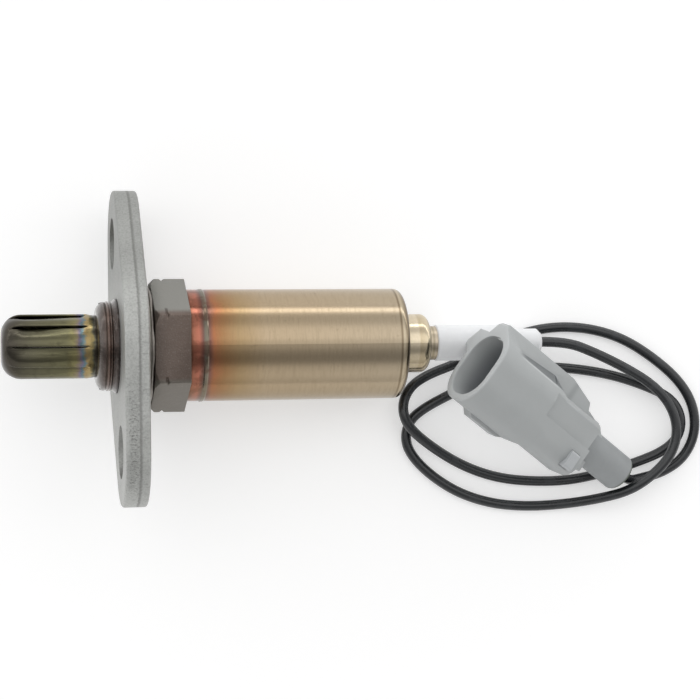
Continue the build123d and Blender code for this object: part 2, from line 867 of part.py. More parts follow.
runs = [(b - a).length for a, b in zip(route, route[1:])]
turns = [(b - a).get_angle(c - b) for a, b, c in zip(route, route[1:], route[2:])]
bend_radii = [
    0.45 * min(before, after) / tan(radians(turn) / 2)
    for before, after, turn in zip(runs, runs[1:], turns)
]

# Signal wire: the free length along its route, with its straight end in the cable sleeve and
# bush as far as the crimp, and its other end in the boot
with BuildPart() as signal_wire:
    with BuildLine() as path:
        FilletPolyline(*route, radius=bend_radii)
    with BuildSketch(Plane(origin=route[0], z_dir=axis_dir)):
        Circle(wire_d / 2)
    sweep(path=path.line)
    free_length = path.wires()[0].length
    free_volume = signal_wire.part.volume
    with BuildSketch(across(crimp_middle)):
        Circle(wire_d / 2)
    extrude(amount=cable_end - crimp_middle)
    plug_pin(terminal_rear, plug_length, wire_d / 2)

signal_wire.part.label = "signal_wire"
export_step(signal_wire.part, "parts/signal_wire.step")

print("bend radii", [round(radius, 1) for radius in bend_radii])
print("free length", round(free_length, 1), "tilt", round(degrees(tilt), 2))
plain_volume = pi * (wire_d / 2) ** 2 * free_length
print("free volume over section times length", round(free_volume / plain_volume, 4))
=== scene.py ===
import math

import bmesh
import bpy
from mathutils import Matrix, Vector


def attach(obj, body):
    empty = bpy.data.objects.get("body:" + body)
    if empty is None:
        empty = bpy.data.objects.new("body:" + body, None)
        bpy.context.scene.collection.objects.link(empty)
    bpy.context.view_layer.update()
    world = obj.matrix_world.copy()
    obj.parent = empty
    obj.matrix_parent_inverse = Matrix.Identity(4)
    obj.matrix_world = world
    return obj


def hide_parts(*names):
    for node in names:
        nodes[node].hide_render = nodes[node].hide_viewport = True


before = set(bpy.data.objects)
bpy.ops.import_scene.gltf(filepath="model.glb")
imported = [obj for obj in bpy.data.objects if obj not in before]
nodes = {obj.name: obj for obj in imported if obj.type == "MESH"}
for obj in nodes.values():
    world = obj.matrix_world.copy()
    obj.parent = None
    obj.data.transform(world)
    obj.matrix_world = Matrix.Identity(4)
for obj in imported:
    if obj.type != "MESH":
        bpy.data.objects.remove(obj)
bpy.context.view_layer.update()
scene = bpy.context.scene
scene.view_settings.view_transform = "Standard"

# Camera: it looks down at the table from over the sensor, leaning a little towards the cable,
# through a long lens.
camera = bpy.data.objects.new("camera", bpy.data.cameras.new("camera"))
camera.data.lens = 98.79
camera.data.sensor_width = 36
camera.data.clip_start = 0.05
camera.data.clip_end = 5
camera_right = Vector((0.99738, -0.01082, 0.07149))
camera_up = Vector((0.01079, 0.99994, 0.00077))
camera_back = camera_right.cross(camera_up)
camera_turn = Matrix((camera_right, camera_up, camera_back)).transposed()
camera.matrix_world = Matrix.Translation((-0.01264, -0.00121, 0.38314)) @ camera_turn.to_4x4()
scene.collection.objects.link(camera)
scene.camera = camera

# Signal wire: one limp stranded wire in a near-black jacket, 2 mm thick. It leaves the white
# sleeve, lies in two loose turns on the table, and ends in the plug's boot.
mm = 0.001
sensor_root = Vector((-30.7254, 0, 17.9017)) * mm
sensor_tilt = 0.137615
sensor_dir = Vector((math.cos(sensor_tilt), 0, -math.sin(sensor_tilt)))
plug_mouth = Vector((38.3364, -3.3242, 20.509)) * mm
plug_dir = Vector((0.730631, -0.570831, -0.374607))
plug_length = 40.6 * mm
cable_end = 83.5 * mm
lying_height = 1.05
first_run = 5.6 * mm
last_run = 2.6 * mm
wire_radius = 1 * mm
wire_exit = sensor_root + sensor_dir * cable_end
boot_end = plug_mouth + plug_dir * plug_length
wire_route = [
    wire_exit,
    wire_exit + sensor_dir * first_run,
    *[
        Vector(point) * mm
        for point in [
            (63.4, -2.3, 5.0),
            (69.5, -5.3, 4.6),
            (75.0, -8.7, 4.5),
            (78.7, -12.8, 4.6),
            (80.1, -17.8, 4.7),
            (78.8, -22.6, 4.8),
            (75.2, -26.5, 5.3),
            (70.0, -29.8, 5.9),
            (64.0, -31.5, 3.6),
            (57.6, -32.6, 1.3),
            (50.4, -33.0, lying_height),
            (43.4, -32.4, lying_height),
            (36.9, -30.4, lying_height),
            (31.6, -27.2, lying_height),
            (27.4, -23.3, lying_height),
            (25.5, -19.6, lying_height),
            (26.3, -15.6, lying_height),
            (29.4, -13.0, lying_height),
            (34.9, -10.2, lying_height),
            (41.4, -7.1, lying_height),
            (48.0, -5.3, lying_height),
            (55.0, -5.0, lying_height),
            (62.0, -5.7, lying_height),
            (68.4, -7.0, lying_height),
            (74.5, -9.1, lying_height),
            (79.5, -11.5, lying_height),
            (81.7, -15.2, lying_height),
            (81.2, -19.3, lying_height),
            (78.0, -22.3, lying_height),
            (72.0, -24.6, lying_height),
            (65.9, -26.4, lying_height),
            (58.8, -27.9, lying_height),
            (51.2, -28.0, lying_height),
            (44.2, -27.2, lying_height),
            (37.8, -25.0, lying_height),
            (31.8, -21.5, 2.0),
            (25.9, -16.8, 4.6),
            (24.6, -12.7, 4.5),
            (26.2, -8.9, 2.8),
            (30.0, -6.4, lying_height),
            (36.0, -4.2, lying_height),
            (42.6, -1.4, lying_height),
            (49.4, 1.9, lying_height),
            (56.4, 3.1, lying_height),
            (63.4, 2.6, lying_height),
            (70.0, 0.5, lying_height),
            (76.3, -3.6, lying_height),
            (81.4, -8.2, lying_height),
            (84.2, -13.2, lying_height),
            (84.5, -18.9, lying_height),
            (82.0, -23.8, lying_height),
            (77.6, -26.6, lying_height),
            (73.2, -27.6, 1.7),
        ]
    ],
    boot_end + plug_dir * last_run,
    boot_end,
]
wire_curve = bpy.data.curves.new("wire_run", "CURVE")
wire_curve.dimensions = "3D"
wire_curve.bevel_depth = wire_radius
wire_curve.bevel_resolution = 6
wire_curve.resolution_u = 8
wire_curve.use_fill_caps = True
wire_spline = wire_curve.splines.new("NURBS")
wire_spline.points.add(len(wire_route) - 1)
for control, place in zip(wire_spline.points, wire_route):
    control.co = (*place, 1)
wire_spline.order_u = 3
wire_spline.use_endpoint_u = True
wire_spline.use_smooth = True
wire = bpy.data.objects.new("wire_run", wire_curve)
scene.collection.objects.link(wire)


class Socket:
    """One value, vector or colour inside a finish, which works in Python expressions."""

    def __init__(self, finish, socket):
        self.finish = finish
        self.socket = socket

    def __add__(self, other):
        return self.finish.maths("ADD", self, other)

    def __sub__(self, other):
        return self.finish.maths("SUBTRACT", self, other)

    def __rsub__(self, other):
        return self.finish.maths("SUBTRACT", other, self)

    def __mul__(self, other):
        return self.finish.maths("MULTIPLY", self, other)

    def __abs__(self):
        return self.finish.node("Math", {"operation": "ABSOLUTE"}, {0: self})

    __radd__ = __add__
    __rmul__ = __mul__


class Finish:
    """A material under way: node() adds any shader node by its type, settings and sockets."""

    def __init__(self, owner):
        self.owner = owner
        owner.use_nodes = True
        self.tree = owner.node_tree
        self.tree.nodes.clear()

    def node(self, kind, settings=None, sockets=None, output=0):
        added = self.tree.nodes.new("ShaderNode" + kind)
        for name, value in (settings or {}).items():
            if name == "stops":
                stops = added.color_ramp.elements
                while len(stops) < len(value):
                    stops.new(1)
                for stop, (place, colour) in zip(stops, value):
                    stop.position = place
                    stop.color = colour
            else:
                setattr(added, name, value)
        for name, value in (sockets or {}).items():
            if isinstance(value, Socket):
                self.tree.links.new(value.socket, added.inputs[name])
            else:
                added.inputs[name].default_value = value
        return Socket(self, added.outputs[output])

    def maths(self, operation, first, second):
        return self.node("Math", {"operation": operation}, {0: first, 1: second})

    def place(self, origin=(0, 0, 0), turn=(0, 0, 0)):
        """Where a point lies in a piece's own directions, in millimetres."""
        here = self.node("TexCoord", output=3)
        return self.node(
            "Mapping",
            {"vector_type": "TEXTURE"},
            {"Vector": here, "Location": origin, "Rotation": turn, "Scale": (mm, mm, mm)},
        )

    def noise(self, place, scale, detail=3.0, roughness=0.55):
        sockets = {"Vector": place, "Scale": scale, "Detail": detail, "Roughness": roughness}
        return self.node("TexNoise", sockets=sockets)

    def rise(self, value, low, high):
        """0 below low, 1 above high, and a smooth change between them."""
        settings = {"interpolation_type": "SMOOTHSTEP"}
        sockets = {"Value": value, "From Min": low, "From Max": high}
        return self.node("MapRange", settings, sockets)

    def mix(self, share, under, over):
        sockets = {0: share, 6: under, 7: over}
        return self.node("Mix", {"data_type": "RGBA"}, sockets, output=2)

    def surface(self, colour, roughness, height=None, relief=0.0, **others):
        """The shader itself, with a height in millimetres for its bump."""
        sockets = {"Base Color": colour, "Roughness": roughness}
        if height is not None:
            bump = {"Height": height, "Distance": relief * mm, "Strength": 1.0}
            sockets["Normal"] = self.node("Bump", sockets=bump)
        for name, value in others.items():
            sockets[name.replace("_", " ")] = value
        shader = self.node("BsdfPrincipled", sockets=sockets)
        end = self.tree.nodes.new("ShaderNodeOutputMaterial")
        self.tree.links.new(shader.socket, end.inputs["Surface"])
        return self.owner


def new_finish(name):
    return Finish(bpy.data.materials.new(name))


def paint(red, green, blue):
    """A colour given as a screen's 0 to 255, as the shader's linear one."""
    return tuple(((c / 255 + 0.055) / 1.055) ** 2.4 for c in (red, green, blue)) + (1,)


def dress(node, material):
    """Give a CAD node its finish."""
    mesh = nodes[node].data
    mesh.materials.clear()
    mesh.materials.append(material)


jacket = new_finish("wire_jacket")
spot = jacket.place()
jacket_grain = jacket.noise(spot, 2.2)
jacket_scuff = jacket.rise(jacket.noise(spot, 0.35, 2), 0.52, 0.7)
jacket_colour = jacket.mix(jacket_scuff * 0.5, paint(24, 27, 30), paint(44, 47, 50))
wire_jacket = jacket.surface(
    jacket_colour,
    0.22 + 0.08 * jacket_grain + 0.1 * jacket_scuff,
    jacket_grain,
    0.006,
    Specular_IOR_Level=0.7,
)
wire_curve.materials.append(wire_jacket)
dress("signal_wire", wire_jacket)
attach(wire, "root")
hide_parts("signal_wire")

# Protection tube: a drawn stainless cup with pressed-in louvres. Exhaust heat has tinted it
# olive, with a rainbow band and then gold where it enters the housing.
sensor_turn = (0, sensor_tilt, 0)


def sensor_place(finish):
    """Along the sensor's axis, across it and up from it, in millimetres from the flange."""
    return finish.place(sensor_root, sensor_turn)


def split(finish, place):
    """The three parts of a place."""
    return [finish.node("SeparateXYZ", sockets={0: place}, output=part) for part in range(3)]


def stretched(finish, place, along, across):
    """A place scaled along the axis and across it, so that a grain on it runs one way."""
    scale = (along, across, across)
    return finish.node("VectorMath", {"operation": "MULTIPLY"}, {0: place, 1: scale})


def tint(finish, value, stops):
    """Colours that follow one another along a length, each given with its place on it."""
    first, last = stops[0][0], stops[-1][0]
    share = finish.node(
        "MapRange", sockets={"Value": value, "From Min": first, "From Max": last}
    )
    ramp = [((at - first) / (last - first), colour) for at, colour in stops]
    return finish.node("ValToRGB", {"stops": ramp}, {"Fac": share})


sensor_up = Vector((math.sin(sensor_tilt), 0, math.cos(sensor_tilt)))
sensor_across = Vector((0, 1, 0))


def sensor_point(station, across):
    """A place in the sensor's own directions, in millimetres, as a point of the scene."""
    return sensor_root + (sensor_dir * station + sensor_across * across) * mm


def smooth_step(share):
    """0 below 0, 1 above 1, and a smooth change between them."""
    share = min(max(share, 0), 1)
    return share * share * (3 - 2 * share)


def turned_shape(profile, steps):
    """Turn an open outline of (station, radius) points about the sensor's axis."""
    shape = bmesh.new()
    line = [shape.verts.new(sensor_point(station, radius)) for station, radius in profile]
    edges = [shape.edges.new(pair) for pair in zip(line, line[1:])]
    bmesh.ops.spin(
        shape,
        geom=line + edges,
        cent=sensor_root,
        axis=sensor_dir,
        angle=2 * math.pi,
        steps=steps,
        use_merge=True,
    )
    bmesh.ops.remove_doubles(shape, verts=shape.verts, dist=0.005 * mm)
    bmesh.ops.recalc_face_normals(shape, faces=shape.faces)
    return shape


def new_piece(name, shape, material, sharp):
    """Make a finished shape a piece of the sensor, smooth but for its sharp edges."""
    mesh = bpy.data.meshes.new(name)
    shape.to_mesh(mesh)
    shape.free()
    mesh.polygons.foreach_set("use_smooth", [True] * len(mesh.polygons))
    mesh.set_sharp_from_angle(angle=math.radians(sharp))
    mesh.materials.append(material)
    piece = bpy.data.objects.new(name, mesh)
    scene.collection.objects.link(piece)
    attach(piece, "root")
    return piece


tube_radius = 6.1
tube_tip = -21.5
nose_radius = 3.7
nose_steps = 12
tube_profile = [(tube_tip, 0.0), (tube_tip, 0.8), (tube_tip, 1.6)]
for step in range(nose_steps + 1):
    angle = math.radians(90 * step / nose_steps)
    tube_profile.append(
        (
            tube_tip + nose_radius * (1 - math.cos(angle)),
            tube_radius - nose_radius * (1 - math.sin(angle)),
        )
    )
tube_profile += [(quarter / 4, tube_radius) for quarter in range(-70, -24)]
tube_profile += [(-5.7, tube_radius), (-5.2, 6.0), (-4.6, 5.9), (-4.0, 5.8), (-1.2, 5.8)]
cup = turned_shape(tube_profile, 180)

# The louvres: their spacing, edge, width and slot in degrees, the rest in millimetres
louvre_pitch = 40
louvre_edge = 12
louvre_width = 30
louvre_depth = 0.72
louvre_front = -20.8
louvre_front_run = 3.6
louvre_rear = -7.0
louvre_rear_run = 1.7
shallow_front = -16.5
shallow_run = 9.5
shallow_share = 0.45
slot_width = 2
slot_front = -19.6
slot_rear = -5.6
nose_middle = 0.5 * mm


def around(point):
    """The angle about the sensor's axis, in degrees past the nearest louvre's sharp edge.

    The margin keeps a point on the edge itself from falling just before it.
    """
    margin = 0.01
    offset = point - sensor_root
    angle = math.degrees(math.atan2(offset.dot(sensor_up), offset.dot(sensor_across)))
    return (angle - louvre_edge + margin) % louvre_pitch


def along(point):
    """The place of a point along the sensor's axis, in millimetres from the flange."""
    return (point - sensor_root).dot(sensor_dir) / mm


open_faces = [
    face
    for face in cup.faces
    if around(face.calc_center_median()) > louvre_pitch - slot_width
    and slot_front < along(face.calc_center_median()) < slot_rear
]
for vert in cup.verts:
    station = along(vert.co)
    outward = vert.co - sensor_root - sensor_dir * station * mm
    begun = smooth_step((station - louvre_front) / louvre_front_run)
    ended = smooth_step((station - louvre_rear) / louvre_rear_run)
    shallower = shallow_share * smooth_step((station - shallow_front) / shallow_run)
    run_out = smooth_step(around(vert.co) / louvre_width)
    inwards = louvre_depth * begun * (1 - ended) * (1 - shallower) * (1 - run_out)
    if outward.length > nose_middle:
        vert.co -= outward.normalized() * inwards * mm
bmesh.ops.delete(cup, geom=open_faces, context="FACES")

tube = new_finish("tube_steel")
spot = sensor_place(tube)
station, across, up = split(tube, spot)
tube_cloud = tube.noise(spot, 0.5, 4)
tube_streak = tube.noise(stretched(tube, spot, 0.25, 1.6), 1.0, 3)
tube_along = station + 2.0 * (tube_cloud - 0.5) + 0.8 * (tube_streak - 0.5)
tube_tint = tint(
    tube,
    tube_along,
    [
        (-22.0, paint(66, 61, 57)),
        (-19.4, paint(78, 74, 66)),
        (-16.0, paint(96, 93, 76)),
        (-9.6, paint(106, 103, 78)),
        (-8.2, paint(126, 120, 84)),
        (-7.5, paint(128, 116, 100)),
        (-7.0, paint(116, 108, 126)),
        (-6.5, paint(96, 122, 128)),
        (-6.0, paint(152, 132, 92)),
        (-5.2, paint(158, 142, 98)),
        (-4.6, paint(96, 96, 84)),
        (-4.2, paint(78, 72, 62)),
        (-2.0, paint(74, 66, 60)),
    ],
)
tube_soot = tube.rise(tube_cloud, 0.5, 0.75)
tube_angle = tube.maths("ARCTAN2", up, across) * math.degrees(1)
past_edge = tube.maths("FLOORED_MODULO", tube_angle - louvre_edge, louvre_pitch)
in_louvre = tube.rise(station, -20.2, -18.0) * (1 - tube.rise(station, -7.6, -6.0))
# Painted shade: each louvre is darkened just past its sharp edge, where it is pressed in
# deepest.
louvre_painted_shade = (1 - tube.rise(past_edge, 0.0, 13.0)) * in_louvre
tube_sooted = tube.mix(0.45 * tube_soot, tube_tint, paint(48, 45, 38))
tube_steel = tube.surface(
    tube.mix(0.55 * louvre_painted_shade, tube_sooted, paint(42, 41, 33)),
    0.13 + 0.12 * tube_streak + 0.1 * tube_soot,
    tube_streak,
    0.035,
    Metallic=1.0,
)
dress("protection_tube", tube_steel)
louvred_tube = new_piece("louvred_tube", cup, tube_steel, 60)
tube_wall = louvred_tube.modifiers.new("wall", "SOLIDIFY")
tube_wall.thickness = 0.4 * mm
tube_wall.offset = -1
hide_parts("protection_tube")

# Inside the sensor: the ceramic element on its seat ring, the powder and ring that hold it,
# and the contact, ceramic tube, spring, crimp and bush behind it.


def grained(name, place, tones, gloss, scale, relief, detail=3.0, stretch=None, **others):
    """A plain finish whose tone, gloss and bump all follow one grain."""
    finish = new_finish(name)
    spot = place(finish)
    if stretch:
        spot = stretched(finish, spot, *stretch)
    grain = finish.noise(spot, scale, detail)
    tone = finish.mix(grain, *tones)
    return finish.surface(tone, gloss[0] + gloss[1] * grain, grain, relief, **others)


zirconia = grained(
    "zirconia",
    sensor_place,
    tones=(paint(236, 232, 222), paint(222, 217, 204)),
    gloss=(0.36, 0.2),
    scale=3.0,
    relief=0.02,
)
dress("zirconia_element", zirconia)

seal_metal = grained(
    "seal_metal",
    sensor_place,
    tones=(paint(196, 194, 188), paint(168, 166, 160)),
    gloss=(0.32, 0.2),
    scale=2.0,
    relief=0.02,
    Metallic=1.0,
)
dress("element_seat_ring", seal_metal)
dress("packing_ring", seal_metal)

packing_powder = grained(
    "packing_powder",
    sensor_place,
    tones=(paint(226, 222, 212), paint(204, 198, 186)),
    gloss=(0.85, 0.1),
    scale=9.0,
    relief=0.06,
    detail=5,
)
dress("powder_packing", packing_powder)

white_ceramic = grained(
    "white_ceramic",
    sensor_place,
    tones=(paint(244, 242, 236), paint(232, 229, 220)),
    gloss=(0.3, 0.2),
    scale=4.0,
    relief=0.015,
)
dress("ceramic_support_tube", white_ceramic)
dress("insulating_bush", white_ceramic)

spring_steel = grained(
    "spring_steel",
    sensor_place,
    tones=(paint(170, 168, 162), paint(136, 134, 130)),
    gloss=(0.24, 0.18),
    scale=3.0,
    relief=0.02,
    stretch=(1.0, 0.4),
    Metallic=1.0,
)
dress("spring_washer", spring_steel)

contact_nickel = grained(
    "contact_nickel",
    sensor_place,
    tones=(paint(206, 200, 186), paint(180, 173, 158)),
    gloss=(0.2, 0.2),
    scale=2.0,
    relief=0.02,
    stretch=(0.4, 1.5),
    Metallic=1.0,
)
dress("inner_contact", contact_nickel)
dress("wire_crimp", contact_nickel)

# Housing: one turned stainless piece, neck, spigot and hexagon, browned by heat. The neck
# has fine turned rings against the flange.
half_flat = 6.35
mark_station = 8.4
housing = new_finish("housing_steel")
spot = sensor_place(housing)
station, across, _ = split(housing, spot)
housing_cloud = housing.noise(spot, 0.45, 4)
housing_grain = housing.noise(spot, 3.5, 4, 0.7)
housing_tint = tint(
    housing,
    station + 0.5 * (housing_cloud - 0.5),
    [
        (-4.4, paint(96, 90, 86)),
        (-3.0, paint(80, 71, 66)),
        (-2.0, paint(88, 68, 58)),
        (-1.0, paint(60, 47, 40)),
        (0.0, paint(40, 31, 27)),
        (6.0, paint(108, 98, 92)),
        (9.0, paint(116, 104, 97)),
        (13.2, paint(104, 91, 84)),
    ],
)
# The hexagon's side flats are greyer than the browned rest. The flat facing +across is painted
# lighter and the one facing -across darker, as painted light and painted shade.
on_hexagon = housing.rise(station, 5.6, 6.0)
side_flats = on_hexagon * housing.rise(abs(across), 5.9, 6.9)
side_flat_tone_and_light = housing.mix(
    housing.rise(across, -1.0, 1.0), paint(118, 113, 106), paint(140, 139, 134)
)
housing_shade = housing.mix(side_flats, housing_tint, side_flat_tone_and_light)
from_corner = abs(abs(across) - half_flat)
from_mark = abs(station - mark_station)
mark = (1 - housing.rise(from_corner, 0.35, 0.75)) * (1 - housing.rise(from_mark, 0.12, 0.4))
housing_marked = housing.mix(0.6 * mark, housing_shade, paint(52, 38, 32))
on_neck = 1 - housing.rise(station, -0.4, 0.2)
housing_dust = housing.rise(housing_grain, 0.52, 0.75)
housing_steel = housing.surface(
    housing.mix(0.3 * housing_dust, housing_marked, paint(176, 170, 162)),
    0.34 + 0.2 * housing_grain - 0.28 * on_neck,
    housing_grain * 0.5 + housing_cloud + 1.5 * on_neck * housing_cloud,
    0.09,
    Metallic=1.0,
    Coat_Weight=0.7 * on_neck,
    Coat_Roughness=0.12,
)
dress("sensor_housing", housing_steel)


def merged_copy(node):
    """A copy of a CAD node's loose triangles, joined where they meet."""
    shape = bmesh.new()
    shape.from_mesh(nodes[node].data)
    bmesh.ops.remove_doubles(shape, verts=shape.verts, dist=0.002 * mm)
    return shape


def join_flats(shape):
    """Make one face of the triangles that lie in a plane."""
    bmesh.ops.dissolve_limit(
        shape, angle_limit=math.radians(1), verts=shape.verts, edges=shape.edges
    )


def ease_edges(shape, width, sharpest):
    """Bevel each edge that turns by more than sharpest degrees, width millimetres wide."""
    join_flats(shape)
    corners = [
        edge
        for edge in shape.edges
        if len(edge.link_faces) == 2 and edge.calc_face_angle() > math.radians(sharpest)
    ]
    bmesh.ops.bevel(
        shape,
        geom=corners,
        offset=width * mm,
        affect="EDGES",
        segments=2,
        profile=0.5,
        material=-1,
        clamp_overlap=True,
    )
    many_sided = [face for face in shape.faces if len(face.verts) > 4]
    bmesh.ops.triangulate(shape, faces=many_sided)


turned_housing = merged_copy("sensor_housing")
ease_edges(turned_housing, width=0.18, sharpest=28)
eased_housing = new_piece("eased_housing", turned_housing, housing_steel, 50)
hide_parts("sensor_housing")
ring_profile = [(-3.2, 8.2), (-2.9, 8.36), (-2.6, 8.42), (-2.35, 8.36), (-2.2, 8.31)]
for ridge in (-1.9, -1.45):
    ring_profile += [
        (ridge - 0.18, 8.33),
        (ridge - 0.08, 8.5),
        (ridge + 0.04, 8.54),
        (ridge + 0.12, 8.42),
        (ridge + 0.2, 8.31),
    ]
ring_profile += [(-1.1, 8.31), (-1.0, 8.2)]
new_piece("neck_rings", turned_shape(ring_profile, 96), housing_steel, 60)

# Mounting flange: a punched steel plate, plated light grey, with a smooth sheared band and a
# rougher torn band round its edge, and a few gouges.
plate = new_finish("flange_steel")
spot = sensor_place(plate)
station, across, up = split(plate, spot)
plate_cloud = plate.noise(spot, 0.25, 4)
plate_grain = plate.noise(spot, 3.0, 5, 0.75)
plate_torn = plate.noise(stretched(plate, spot, 0.35, 2.2), 1.0, 4, 0.7)
on_edge = plate.rise(station, 0.1, 0.3) * (1 - plate.rise(station, 4.3, 4.5))
shear_line = plate.rise(station + 0.5 * plate_torn, 2.6, 2.9) * (
    1 - plate.rise(station + 0.5 * plate_torn, 3.0, 3.5)
)
torn_band = plate.rise(station + 0.4 * plate_torn, 2.8, 3.1)
plate_speck = plate.rise(plate_grain, 0.42, 0.68)
plate_base = plate.mix(
    0.5 * plate_cloud + 0.4 * plate_speck, paint(196, 197, 194), paint(140, 141, 138)
)
plate_far = plate.mix(0.4 * plate.rise(across, 6.0, 16.0), plate_base, paint(112, 113, 110))
plate_marked = plate.mix(0.5 * shear_line * on_edge, plate_far, paint(96, 95, 92))
plate_gouge = plate.noise(stretched(plate, spot, 1.3, 2.4), 1.5, 6, 0.85)
near_side = plate.rise(0 - across, 0.0, 14.0) * (1 - plate.rise(0 - across, 24.0, 29.0))
gouges = (
    plate.rise(plate_gouge, 0.5, 0.66)
    * plate.rise(up, 6.0, 7.5)
    * plate.rise(station, 0.5, 0.8)
    * (1 - plate.rise(station, 2.3, 2.6))
    * near_side
)
plate_torn_tone = plate.mix(
    plate.rise(plate_torn, 0.55, 0.75) * torn_band * on_edge * 0.5,
    plate_marked,
    paint(120, 119, 116),
)
flange_steel = plate.surface(
    plate.mix(0.85 * gouges, plate_torn_tone, paint(80, 78, 74)),
    0.4 + 0.2 * plate_grain,
    plate_grain * 0.5 + plate_torn * torn_band * on_edge - 0.8 * gouges,
    0.12,
    Metallic=0.9,
)
dress("mounting_flange", flange_steel)

# Gasket: a ring folded from thin stainless strip, browned a little by heat. It is held on the
# spigot between the flange and the hexagon.
gasket_metal = grained(
    "gasket_metal",
    sensor_place,
    tones=(paint(150, 146, 140), paint(108, 102, 96)),
    gloss=(0.25, 0.2),
    scale=2.0,
    relief=0.03,
    stretch=(2.0, 0.6),
    Metallic=1.0,
)
dress("gasket_ring", gasket_metal)

# Protective sleeve: a drawn stainless shell, welded round its front end. The weld's heat has
# left red, violet and orange rings that fade to pale gold.
shell = new_finish("sleeve_steel")
spot = sensor_place(shell)
station, across, _ = split(shell, spot)
shell_cloud = shell.noise(stretched(shell, spot, 0.5, 1.0), 0.22, 4)
shell_grain = shell.noise(stretched(shell, spot, 3.0, 0.3), 1.0, 5, 0.75)
welded_end = shell.rise(station, 16.2, 18.0) * (1 - shell.rise(station, 35.0, 45.0))
shell_heat = station + 3.0 * (shell_cloud - 0.5) * welded_end
shell_tint_and_rim_light = tint(
    shell,
    shell_heat,
    [
        (12.8, paint(70, 48, 40)),
        (13.4, paint(152, 98, 80)),
        (14.4, paint(172, 108, 90)),
        (15.2, paint(112, 82, 76)),
        (15.5, paint(112, 106, 96)),
        (16.1, paint(124, 116, 102)),
        (16.4, paint(126, 92, 84)),
        (17.3, paint(162, 107, 76)),
        (19.0, paint(158, 119, 83)),
        (22.0, paint(166, 141, 106)),
        (27.0, paint(176, 157, 130)),
        # The stops from 53.1 on paint the rear rim's rounded edge: a painted highlight at 53.5
        # between lines of painted shade.
        (52.8, paint(178, 163, 140)),
        (53.1, paint(124, 108, 86)),
        (53.5, paint(198, 184, 160)),
        (54.1, paint(152, 138, 116)),
        (54.6, paint(108, 94, 76)),
    ],
)
shell_dust = shell.rise(shell_grain, 0.42, 0.7)
shell_lumps = shell.noise(spot, 0.9, 4, 0.7)
shell_patch = shell.noise(spot, 0.35, 3, 0.6)
shell_spots = shell.rise(shell_lumps, 0.6, 0.72)
before_bead = 1 - shell.rise(station, 16.2, 17.2)
# Painted shade: the sleeve darkens towards its -across side. Real dust and weld spots are
# added on top of it.
low_side_painted_shade = 1 - shell.rise(across, -9.6, -5.0)
shell_dirt_and_shade = 0.16 * shell_dust + 0.22 * shell_spots + 0.3 * low_side_painted_shade
shell_burnt = shell.mix(
    0.45 * before_bead * shell.rise(shell_patch, 0.48, 0.6), shell_tint_and_rim_light, paint(88, 50, 38)
)
sleeve_steel = shell.surface(
    shell.mix(shell_dirt_and_shade, shell_burnt, paint(118, 102, 74)),
    0.14 + 0.12 * shell_grain - 0.06 * before_bead,
    shell_grain + 1.2 * shell_cloud + 6.0 * before_bead * shell_patch,
    0.005,
    Metallic=1.0,
)
dress("protective_sleeve", sleeve_steel)

# Outlet ferrule: a small bright cap in the sleeve's rear wall, with a narrow neck that grips
# the white sleeve.
cap = new_finish("ferrule_steel")
spot = sensor_place(cap)
station, across, _ = split(cap, spot)
cap_grain = cap.noise(stretched(cap, spot, 1.5, 0.5), 3.0)
# The dark stop at 54.0 is painted shade where the ferrule meets the sleeve's rim. The light
# and dark bands from 60.2 on are painted highlights and painted shade for the neck's ridges.
cap_tint_and_ring_light = tint(
    cap,
    station,
    [
        (54.0, paint(130, 116, 94)),
        (55.2, paint(214, 200, 174)),
        (57.6, paint(226, 212, 186)),
        (58.0, paint(206, 190, 160)),
        (59.6, paint(222, 208, 180)),
        (60.2, paint(150, 138, 116)),
        (60.8, paint(206, 194, 172)),
        (61.2, paint(170, 158, 136)),
        (61.6, paint(208, 196, 176)),
        (62.2, paint(176, 162, 142)),
    ],
)
# Painted shade: the ferrule darkens towards its -across side, together with its real grain.
cap_grain_and_low_side_shade = 0.25 * cap_grain + 0.5 * (1 - cap.rise(across, -4.0, 0.0))
ferrule_steel = cap.surface(
    cap.mix(cap_grain_and_low_side_shade, cap_tint_and_ring_light, paint(124, 110, 84)),
    0.1 + 0.12 * cap_grain + 0.2 * cap.rise(station, 60.0, 60.6),
    cap_grain,
    0.02,
    Metallic=1.0,
)
dress("outlet_ferrule", ferrule_steel)

# Cable sleeve: a stiff white tube of sintered plastic round the wire, smooth and waxy. The
# ferrule's neck grips its front end, and its rear end steps down.
waxy = new_finish("white_ptfe")
spot = sensor_place(waxy)
waxy_cloud = waxy.noise(spot, 0.6, 3)
waxy_grain = waxy.noise(spot, 4.0, 3)
white_ptfe = waxy.surface(
    waxy.mix(waxy_cloud, paint(238, 239, 240), paint(226, 227, 229)),
    0.42 + 0.16 * waxy_grain,
    waxy_grain,
    0.02,
)
dress("cable_sleeve", white_ptfe)
sleeve_profile = [
    (60.0, 1.12),
    (60.0, 2.7),
    (62.02, 2.7),
    (62.02, 3.3),
    (62.2, 3.5),
    (75.7, 3.5),
    (75.95, 3.25),
    (75.95, 2.65),
    (82.65, 2.65),
    (83.45, 1.9),
    (83.5, 1.6),
    (83.5, 1.12),
]
stepped_sleeve = new_piece(
    "stepped_sleeve", turned_shape(sleeve_profile, 64), white_ptfe, 30
)
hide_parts("cable_sleeve")

# Connector housing: moulded in mid grey glass-filled plastic, matt. Its socket is darkened
# with painted shade, and its mouth and one flank edge carry painted highlights. The small clip
# in its top is a lighter grey.
plug_side = Vector((0.590603, 0.803677, -0.072746))
plug_top = Vector((0.342588, -0.168093, 0.924326))
plug_turn = tuple(Matrix((plug_dir, plug_side, plug_top)).transposed().to_euler())


def plug_place(finish):
    """Along the plug from its mouth, to its side and to its top, in millimetres."""
    return finish.place(plug_mouth, plug_turn)


